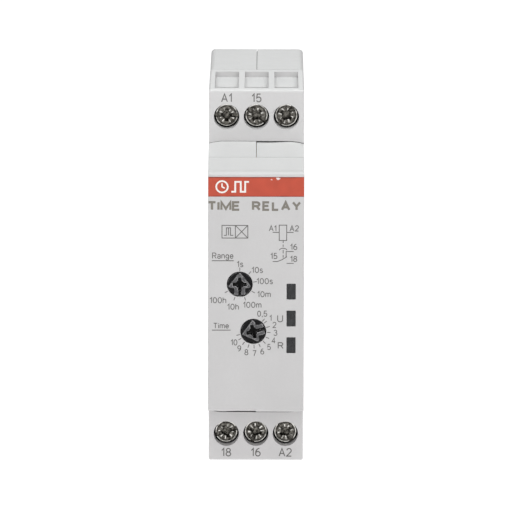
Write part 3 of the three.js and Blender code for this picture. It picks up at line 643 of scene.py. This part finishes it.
def knob_material():
    """Black nylon with a greyer raised pointer, and painted glints along its edges."""
    s = Shader("knob_nylon_painted_glints")
    s.set(IOR=1.27)
    height = s.along("Y")
    raised = s.math("MULTIPLY", s.spread(height, 1, 0, POINTER_TOP, KNOB_FACE * 0.8),
                    s.spread(height, 0, 1, POINTER_TOP - 0.2 * MM, POINTER_TOP - 0.1 * MM))
    patchy = s.math("MULTIPLY", raised, s.spread(s.noise(0.6, 4), 0.45, 1.0))
    greyed_pointer = s.mix(patchy, (0.005, 0.005, 0.006), (0.14, 0.138, 0.145))
    # Painted glints: pale patches along the edges stand in for light caught there.
    edge_glints = s.math("MULTIPLY", s.edges(0.22, 5), s.spread(s.own_noise(0.9, 3), 0.1, 1, 0.42, 0.6))
    s.drive("Base Color", s.mix(edge_glints, greyed_pointer, (0.62, 0.61, 0.62)))
    s.drive("Roughness", s.spread(s.noise(0.5, 4), 0.3, 0.5))
    s.bump(s.noise(0.12, 3), 0.3, 0.005)
    return s.material


def pointer_outline():
    """Arrow with its apex up and a stem that runs down to the rim."""
    return in_mm([(-0.95, -1.98), (0.95, -1.98), (0.95, -0.66), (1.72, -0.62), (1.98, -0.36), (0, 2.08),
                  (-1.98, -0.36), (-1.72, -0.62), (-0.95, -0.66)])


def knob(name, axis, pointer_deg):
    """A screwdriver knob around its own origin, which lies on the face of the front plate."""
    face = KNOB_FACE / MM
    radius = KNOB_RADIUS / MM
    profile = [(0, face), (2.02, face), (2.16, face + 0.05), (radius, face + 0.2), (radius, 2.04),
               (2.76, 2.05), (2.76, 2.65), (1.4, 2.66), (1.4, 6.7), (1.3, 6.79), (0, 6.8)]
    body = revolved(name, in_mm(profile), 72)
    pointer = prism("pointer", pointer_outline(), POINTER_TOP, KNOB_FACE + 0.3 * MM)
    carve(body, [pointer], "UNION")
    arm = (-1.32 * MM, 1.32 * MM)
    half = (-0.35 * MM, 0.35 * MM)
    deep = (-1 * MM, 1.5 * MM)
    cutters = [
        box_piece("arm", arm, deep, half),
        box_piece("arm", half, deep, arm),
        box_piece("tail", (-0.3 * MM, 0.3 * MM), (-1 * MM, 0.95 * MM), (-3 * MM, 0)),
        revolved("well", in_mm([(0, -1), (0.84, -1), (0.72, 1.5), (0, 1.75)]), 24),
    ]
    carve(body, cutters)
    body.location = (axis.x, FACE_Y, axis.z)
    return soften(turned(body, pointer_deg), 0.07, 3, 25)


def build_knobs():
    material = knob_material()
    dials = (("range_knob", RANGE_AXIS, RANGE_STOPS_DEG[0]), ("time_knob", TIME_AXIS, TIME_END_DEG))
    for node, axis, pointer_deg in dials:
        piece = knob(f"{node}_detailed", axis, pointer_deg)
        paint(piece, material, node)
        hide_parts(node)


# ---------------------------------------------------------------- printing

def ink_line(points, width_mm, face_y, closed=False):
    """Vertices and faces of a printed line through points in X and Z, in millimetres, mitred at its bends."""
    path = [Vector(point) * MM for point in points]
    count = len(path)
    half = width_mm * MM / 2
    left, right = [], []
    for i, here in enumerate(path):
        before = path[i - 1] if i > 0 or closed else here
        after = path[(i + 1) % count] if i < count - 1 or closed else here
        incoming = (here - before if before != here else after - here).normalized()
        outgoing = (after - here if after != here else here - before).normalized()
        along = Vector((-incoming.y, incoming.x))
        side = along + Vector((-outgoing.y, outgoing.x))
        side = side.normalized() if side.length > 1e-6 else along
        reach = half / max(0.4, side.dot(along))
        left.append(here + side * reach)
        right.append(here - side * reach)
    layers = (face_y - INK_THICKNESS, face_y + INK_THICKNESS)
    vertices = [(p.x, y, p.y) for y in layers for p in left + right]
    faces = []
    lower = 2 * count
    for i in range(count if closed else count - 1):
        j = (i + 1) % count
        a, b, c, d = i, j, j + count, i + count
        faces += [(a, b, c, d), (a + lower, d + lower, c + lower, b + lower)]
        faces += [(a, a + lower, b + lower, b), (d, c, c + lower, d + lower)]
    if not closed:
        faces += [(i, i + count, i + count + lower, i + lower) for i in (0, count - 1)]
    return vertices, faces


def bow(centre, radii, start_deg, end_deg, steps=12):
    """Points of an elliptical arc, with angles clockwise from straight up."""
    points = []
    for step in range(steps + 1):
        angle = math.radians(start_deg + (end_deg - start_deg) * step / steps)
        points.append((centre[0] + radii[0] * math.sin(angle), centre[1] + radii[1] * math.cos(angle)))
    return points


def hoop(centre, radii):
    return bow(centre, radii, 0, 360, 16)


# Each glyph is its width and its strokes, with its capitals 1 high. A stroke that ends where it starts
# is closed.
GLYPHS = {
    "0": (0.56, [hoop((0.28, 0.5), (0.28, 0.5))]),
    "1": (0.28, [[(0, 0.72), (0.24, 1), (0.24, 0)]]),
    "2": (0.56, [bow((0.28, 0.72), (0.27, 0.28), -80, 120) + [(0, 0), (0.56, 0)]]),
    "3": (0.54, [bow((0.25, 0.76), (0.24, 0.24), -70, 180), bow((0.25, 0.26), (0.29, 0.26), 0, 250)]),
    "4": (0.58, [[(0.42, 0), (0.42, 1), (0, 0.28), (0.58, 0.28)]]),
    "5": (0.55, [[(0.5, 1), (0.1, 1), (0.04, 0.5)] + bow((0.27, 0.31), (0.28, 0.31), -40, 245)]),
    "6": (0.56, [hoop((0.28, 0.3), (0.28, 0.3)), bow((0.46, 0.32), (0.46, 0.68), -90, 0)]),
    "7": (0.54, [[(0, 1), (0.54, 1), (0.2, 0)]]),
    "8": (0.56, [hoop((0.28, 0.76), (0.23, 0.24)), hoop((0.28, 0.26), (0.28, 0.26))]),
    "9": (0.56, [hoop((0.28, 0.7), (0.28, 0.3)), bow((0.1, 0.68), (0.46, 0.68), 90, 180)]),
    ",": (0.1, [[(0.08, 0.1), (0.02, -0.16)]]),
    "A": (0.68, [[(0, 0), (0.34, 1), (0.68, 0)], [(0.12, 0.34), (0.56, 0.34)]]),
    "E": (0.54, [[(0.54, 1), (0, 1), (0, 0), (0.54, 0)], [(0, 0.52), (0.48, 0.52)]]),
    "I": (0.04, [[(0.02, 0), (0.02, 1)]]),
    "L": (0.5, [[(0, 1), (0, 0), (0.5, 0)]]),
    "M": (0.78, [[(0, 0), (0, 1), (0.39, 0.12), (0.78, 1), (0.78, 0)]]),
    "R": (0.62, [[(0, 0), (0, 1)] + bow((0.34, 0.745), (0.26, 0.255), 0, 180),
                 [(0.34, 0.49), (0, 0.49)], [(0.34, 0.49), (0.62, 0)]]),
    "T": (0.62, [[(0, 1), (0.62, 1)], [(0.31, 1), (0.31, 0)]]),
    "U": (0.62, [[(0, 1)] + bow((0.31, 0.3), (0.31, 0.3), -90, -270) + [(0.62, 1)]]),
    "Y": (0.66, [[(0, 1), (0.33, 0.46), (0.66, 1)], [(0.33, 0.46), (0.33, 0)]]),
    "a": (0.48, [bow((0.24, 0.5), (0.22, 0.21), -70, 90) + [(0.46, 0)], hoop((0.23, 0.2), (0.23, 0.2))]),
    "e": (0.5, [[(0.02, 0.37), (0.5, 0.37)] + bow((0.25, 0.36), (0.25, 0.35), 80, -240)]),
    "g": (0.48, [hoop((0.23, 0.38), (0.23, 0.32)),
                 [(0.46, 0.7)] + bow((0.23, -0.06), (0.23, 0.22), 90, 250)]),
    "h": (0.46, [[(0, 0), (0, 1)], bow((0.23, 0.46), (0.23, 0.25), -90, 90) + [(0.46, 0)]]),
    "i": (0.04, [[(0.02, 0), (0.02, 0.71)], [(0.02, 0.88), (0.02, 1)]]),
    "m": (0.76, [[(0, 0), (0, 0.71)], bow((0.19, 0.5), (0.19, 0.21), -90, 90) + [(0.38, 0)],
                 bow((0.57, 0.5), (0.19, 0.21), -90, 90) + [(0.76, 0)]]),
    "n": (0.46, [[(0, 0), (0, 0.71)], bow((0.23, 0.46), (0.23, 0.25), -90, 90) + [(0.46, 0)]]),
    "s": (0.42, [bow((0.2, 0.535), (0.18, 0.175), 70, -180) + bow((0.21, 0.18), (0.2, 0.18), 0, 250)]),
}
GLYPH_GAP = 0.24
LINE_MM = 0.14
SMALL_CAP_MM = 1.0


def lettering(words, centre, cap_mm, face_y, weight_mm=LINE_MM, stretch=1.0, gap=GLYPH_GAP):
    """Lines of a printed word whose capitals are cap_mm high, centred on a point in X and Z."""
    unit = cap_mm * stretch
    width = sum(GLYPHS[letter][0] for letter in words) + gap * (len(words) - 1)
    x = centre[0] - width * unit / 2
    base = centre[1] - cap_mm / 2
    lines = []
    for letter in words:
        glyph_width, strokes = GLYPHS[letter]
        for stroke in strokes:
            closed = math.dist(stroke[0], stroke[-1]) < 1e-6
            points = [(x + u * unit, base + v * cap_mm) for u, v in (stroke[:-1] if closed else stroke)]
            lines.append(ink_line(points, weight_mm, face_y, closed))
        x += (glyph_width + gap) * unit
    return lines


def print_piece(name, lines, ink):
    """One printed piece. Each line lies a hair above the one before, so crossings don't share a plane."""
    vertices, faces = [], []
    for order, (line_vertices, line_faces) in enumerate(lines):
        first = len(vertices)
        lift = order * INK_STEP
        vertices += [(x, y - lift, z) for x, y, z in line_vertices]
        faces += [tuple(first + corner for corner in face) for face in line_faces]
    return paint(add_object(name, mesh_from(name, vertices, faces)), ink, "housing")


def tick(axis_mm, angle_deg):
    angle = math.radians(angle_deg)
    ends = [(axis_mm[0] + r * math.sin(angle), axis_mm[1] + r * math.cos(angle)) for r in TICK_MM]
    return ink_line(ends, LINE_MM, FACE_Y)


def print_range_scale():
    axis = (RANGE_AXIS.x / MM, RANGE_AXIS.z / MM)
    lines = [tick(axis, stop) for stop in RANGE_STOPS_DEG]
    for words, x, z in RANGE_LABELS:
        lines += lettering(words, (axis[0] + x, axis[1] + z), SMALL_CAP_MM, FACE_Y, stretch=1.12)
    print_piece("print_range_scale", lines, INK)


def print_time_scale():
    axis = (TIME_AXIS.x / MM, TIME_AXIS.z / MM)
    lines = [tick(axis, TIME_START_DEG + TIME_STEP_DEG * value) for value in (0.5, *TIME_NUMBERS)]
    lines.append(tick(axis, TIME_END_TICK_DEG))
    for value in TIME_NUMBERS:
        angle = math.radians(TIME_START_DEG + TIME_STEP_DEG * value)
        centre = (axis[0] + TIME_LABEL_RADIUS_MM * math.sin(angle),
                  axis[1] + TIME_LABEL_RADIUS_MM * math.cos(angle))
        lines += lettering(str(value), centre, SMALL_CAP_MM, FACE_Y)
    lines += lettering("0,5", (axis[0] + 1.62, axis[1] + 3.35), SMALL_CAP_MM, FACE_Y)
    print_piece("print_time_scale", lines, INK)


def print_words():
    lines = lettering("Range", (-6.05, 6.83), 1.02, FACE_Y, stretch=1.05)
    lines += lettering("Time", (-6.35, -6.22), 0.92, FACE_Y, stretch=1.12)
    for left, right, z in ((-8.05, -4.05, 5.9), (-8.0, -4.6, -7.05)):
        lines.append(ink_line([(left, z), (right, z)], LINE_MM, FACE_Y))
    lines += lettering("U", (4.42, -4.87), 1.2, FACE_Y, 0.16, 1.2)
    lines += lettering("R", (4.52, -9.9), 1.08, FACE_Y, 0.16, 1.3)
    print_piece("print_words", lines, INK)
    title = lettering("TIME", (-5.87, 16.07), 1.38, FACE_Y, 0.42, 1.5)
    title += lettering("RELAY", (3.7, 16.07), 1.38, FACE_Y, 0.42, 1.38, 0.37)
    print_piece("print_title", title, BOLD_INK)


def print_function_symbol():
    """A pulse train beside a crossed box: a timer that starts with a pulse."""
    left, right, low, high, middle = -6.2, -1.5, 10.12, 12.47, -3.77
    wave_low, wave_high = low + 0.5, high - 0.45
    wave = [(-5.85, wave_low), (-5.4, wave_low), (-5.4, wave_high), (-4.65, wave_high), (-4.65, wave_low),
            (-4.15, wave_low)]
    lines = [
        ink_line([(left, low), (right, low), (right, high), (left, high)], LINE_MM, FACE_Y, closed=True),
        ink_line([(middle, low), (middle, high)], LINE_MM, FACE_Y),
        ink_line([(middle, low), (right, high)], LINE_MM, FACE_Y),
        ink_line([(middle, high), (right, low)], LINE_MM, FACE_Y),
        ink_line(wave, LINE_MM, FACE_Y),
        ink_line([(-5.02, wave_high), (-5.02, wave_low)], LINE_MM, FACE_Y),
    ]
    print_piece("print_function_symbol", lines, INK)


def print_contact_diagram():
    """Coil with its leads, and a changeover contact drawn below it."""
    armature_x = 4.93
    runs = (
        [(3.03, 11.2), (4.2, 11.2)],
        [(5.56, 11.2), (6.82, 11.2)],
        [(armature_x, 9.69), (armature_x, 9.25)],
        [(armature_x, 8.95), (armature_x, 8.5)],
        [(armature_x, 7.9), (armature_x, 7.3)],
        [(armature_x, 7.0), (armature_x, 6.5)],
        bow((armature_x, 7.75), (0.72, 0.5), -75, 75),
        [(6.85, 7.64), (5.48, 7.64), (5.48, 6.62)],
        [(6.85, 5.44), (5.56, 5.44)],
        [(3.03, 5.76), (3.9, 5.78), (4.7, 6.1), (5.61, 6.67)],
    )
    coil = [(4.21, 9.69), (5.56, 9.69), (5.56, 12.54), (4.21, 12.54)]
    lines = [ink_line(coil, LINE_MM, FACE_Y, closed=True)]
    lines += [ink_line(run, LINE_MM, FACE_Y) for run in runs]
    for words, x, z in (("A1", 3.02, 11.95), ("A2", 6.94, 11.95), ("16", 6.86, 8.5), ("15", 3.25, 6.8),
                        ("18", 6.86, 6.27)):
        lines += lettering(words, (x, z), SMALL_CAP_MM, FACE_Y, stretch=1.05)
    print_piece("print_contact_diagram", lines, INK)


def print_terminal_numbers():
    for row, labels, z in (("top", ("A1", "15", ""), 33.45), ("bottom", ("18", "16", "A2"), -33.45)):
        lines = []
        for column, words in zip(COLUMNS, labels):
            if words:
                x = node_centre(f"terminal_screw_{row}_{column}").x / MM
                lines += lettering(words, (x, z), 1.45, COVER_FACE_Y, 0.19, 1.05)
        print_piece(f"print_terminals_{row}", lines, INK)


BAND_Z = (17.8, 21.45)
CLOCK_RADIUS_MM = 1.06
PULSE_HALF_HEIGHT_MM = 0.92


def build_band():
    """The red band across the front plate, with a plain clock and pulse sign in white."""
    red = band_paint(RED, CHIP_PINK, BAND_Z[0] * MM, BAND_Z[1] * MM)
    reach = HALF_WIDTH - 0.04 * MM
    band = box_piece("front_band", (-reach, reach), (FACE_Y - 0.01 * MM, FACE_Y + 0.03 * MM),
                     (BAND_Z[0] * MM, BAND_Z[1] * MM))
    paint(band, red, "housing")
    sign_y = FACE_Y - 0.012 * MM
    clock = (-6.2, (BAND_Z[0] + BAND_Z[1]) / 2)
    rim = hoop(clock, (CLOCK_RADIUS_MM, CLOCK_RADIUS_MM))
    hands = [(clock[0], clock[1] + 0.64), clock, (clock[0] + 0.48, clock[1] - 0.27)]
    low, high = clock[1] - PULSE_HALF_HEIGHT_MM, clock[1] + PULSE_HALF_HEIGHT_MM
    pulse = [(-4.5, low), (-3.8, low), (-3.8, high), (-2.8, high), (-2.8, low), (-2.0, low), (-2.0, high),
             (-1.3, high)]
    lines = [
        ink_line(rim[:-1], 0.3, sign_y, closed=True),
        ink_line(hands, 0.24, sign_y),
        ink_line(pulse, 0.32, sign_y),
    ]
    print_piece("band_sign", lines, WHITE_INK)


# ---------------------------------------------------------------- housing seam

SHADE_STRIP_HALF_WIDTH = 0.04 * MM
SHADE_STRIP_SINK = 0.35 * MM  # below the outer face of the housing
ROOF_SHADE_STRIP_REACH = 0.8 * MM
WALL_SHADE_STRIP_REACH = 10.5 * MM


def build_seam_tongues():
    """Black strips that close the seam between the housing halves, above and below, behind the covers, their black
    standing in for the shade in the seam.
    """
    low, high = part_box("housing_left")
    wall_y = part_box("terminal_cover_top")[1].y + 0.55 * MM
    seam = (-SHADE_STRIP_HALF_WIDTH, SHADE_STRIP_HALF_WIDTH)
    wall = (wall_y, wall_y + 0.4 * MM)
    roof = (wall[1] + 0.01 * MM, high.y - 1.2 * MM)
    for row, edge, inwards in (("top", high.z, -1), ("bottom", low.z, 1)):
        roof_z = sorted((edge + inwards * SHADE_STRIP_SINK, edge + inwards * ROOF_SHADE_STRIP_REACH))
        wall_z = sorted((edge + inwards * SHADE_STRIP_SINK, edge + inwards * WALL_SHADE_STRIP_REACH))
        for part, y, z in (("wall", wall, wall_z), ("roof", roof, roof_z)):
            shade_strip = box_piece(f"seam_tongue_{row}_{part}", seam, y, z)
            # Painted shade: the strips are black to stand in for the shade in the seam.
            paint(shade_strip, MATERIALS["component_black"], "housing")


# ---------------------------------------------------------------- latch spring

def build_latch_spring():
    """The latch's coil spring, built as a fixed coil on the housing."""
    low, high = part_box("latch_spring")
    wire = 0.17 * MM
    radius = (high.x - low.x) / 2 - wire
    middle = (low + high) / 2
    turns = 7
    steps = 28
    curve = bpy.data.curves.new("latch_spring_coil", "CURVE")
    curve.dimensions = "3D"
    curve.bevel_depth = wire
    curve.bevel_resolution = 3
    curve.use_fill_caps = True
    spline = curve.splines.new("POLY")
    count = turns * steps
    spline.points.add(count)
    bottom, top = low.z + wire, high.z - wire
    for i, point in enumerate(spline.points):
        angle = 2 * math.pi * i / steps
        z = bottom + (top - bottom) * i / count
        point.co = (middle.x + radius * math.cos(angle), middle.y + radius * math.sin(angle), z, 1)
    path = add_object("coil_path", curve)
    graph = bpy.context.evaluated_depsgraph_get()
    coil = add_object("latch_spring_coil", bpy.data.meshes.new_from_object(path.evaluated_get(graph)))
    bpy.data.objects.remove(path)
    smooth(coil, 60)
    paint(coil, MATERIALS["spring_steel"], "housing")
    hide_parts("latch_spring")
    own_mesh(coil)


# ---------------------------------------------------------------- camera, light and floor

AIM = Vector((-0.036, -39.0, 3.82)) * MM
CAMERA_AZIMUTH_DEG = 0.12
CAMERA_ELEVATION_DEG = 11.99
CAMERA_ROLL_DEG = 0.13
CAMERA_DISTANCE = 1.0596
LENS_MM = 403.9
SENSOR_MM = 36

ROOM_LEVEL = (0.19, 0.29)  # the light from below and from above
BACKDROP_LEVEL = 0.8  # how bright the room looks to the camera
FLOOR_LEVEL = -0.30
FLOOR_REACH = 12.0
FLOOR_GLOW = 0.56
COOL = (0.955, 1.0, 0.985)
WARM = (1.0, 0.985, 0.985)


def build_camera():
    azimuth = math.radians(CAMERA_AZIMUTH_DEG)
    elevation = math.radians(CAMERA_ELEVATION_DEG)
    away = Vector((math.sin(azimuth) * math.cos(elevation), -math.cos(azimuth) * math.cos(elevation),
                   math.sin(elevation)))
    data = bpy.data.cameras.new("camera")
    data.lens = LENS_MM
    data.sensor_width = SENSOR_MM
    data.clip_start = 0.05
    data.clip_end = 50
    camera = add_object("camera", data)
    camera.location = AIM + away * CAMERA_DISTANCE
    turn = (-away).to_track_quat("-Z", "Y").to_matrix().to_4x4()
    roll = Matrix.Rotation(math.radians(CAMERA_ROLL_DEG), 4, "Z")
    camera.matrix_world = Matrix.Translation(camera.location) @ turn @ roll
    bpy.context.scene.camera = camera


def soft_light(name, place, size, power, colour=(1, 1, 1), aim=AIM):
    data = bpy.data.lights.new(name, "AREA")
    data.shape = "RECTANGLE"
    data.size, data.size_y = size
    data.energy = power
    data.color = colour
    light = add_object(name, data)
    light.location = place
    light.rotation_euler = (aim - Vector(place)).to_track_quat("-Z", "Y").to_euler()


def build_world():
    """A dim room, a little brighter overhead, that looks pale to the camera. The softboxes light the part."""
    world = bpy.data.worlds.new("booth")
    bpy.context.scene.world = world
    world.use_nodes = True
    nodes, links = world.node_tree.nodes, world.node_tree.links
    place = nodes.new("ShaderNodeTexCoord")
    split = nodes.new("ShaderNodeSeparateXYZ")
    links.new(place.outputs["Generated"], split.inputs[0])
    upwards = nodes.new("ShaderNodeMapRange")
    upwards.inputs["To Min"].default_value = ROOM_LEVEL[0]
    upwards.inputs["To Max"].default_value = ROOM_LEVEL[1]
    links.new(split.outputs["Z"], upwards.inputs["Value"])
    seen = nodes.new("ShaderNodeMix")
    links.new(nodes.new("ShaderNodeLightPath").outputs["Is Camera Ray"], seen.inputs["Factor"])
    links.new(upwards.outputs["Result"], seen.inputs["A"])
    seen.inputs["B"].default_value = BACKDROP_LEVEL
    background = nodes["Background"]
    background.inputs["Color"].default_value = (1, 1, 1, 1)
    links.new(seen.outputs["Result"], background.inputs["Strength"])


def build_floor():
    reach = FLOOR_REACH
    corners = [(-reach, -reach), (reach, -reach), (reach, reach), (-reach, reach)]
    vertices = [(x, y, FLOOR_LEVEL) for x, y in corners]
    floor = add_object("floor", mesh_from("floor", vertices, [(0, 1, 2, 3)]))
    s = Shader("white_paper", 0.9)
    s.set(Emission_Color=(1, 1, 1, 1), Emission_Strength=FLOOR_GLOW)
    s.drive("Base Color", s.mix(s.spread(s.noise(400, 2), 0, 1), (0.86, 0.86, 0.86), (0.9, 0.9, 0.9)))
    floor.data.materials.append(s.material)


def build_stage():
    build_camera()
    build_world()
    build_floor()
    soft_light("overhead_box", (0.02, -0.15, 0.42), (0.4, 0.3), 1.6, COOL)
    soft_light("front_box_left", (-0.34, -0.62, 0.24), (0.3, 0.4), 0.93, WARM)
    soft_light("front_box_right", (0.34, -0.62, 0.24), (0.3, 0.4), 0.9, WARM)
    soft_light("backdrop_box", (0, 1.5, 0.6), (1.2, 1.6), 6.5, aim=Vector((0, 1.5, FLOOR_LEVEL)))
    settings = bpy.context.scene.view_settings
    settings.view_transform = "Standard"
    settings.look = "None"


build_stage()
dress_cad_nodes()
build_screws()
build_knobs()
build_band()
print_words()
print_range_scale()
print_time_scale()
print_function_symbol()
print_contact_diagram()
print_terminal_numbers()
build_seam_tongues()
build_latch_spring()
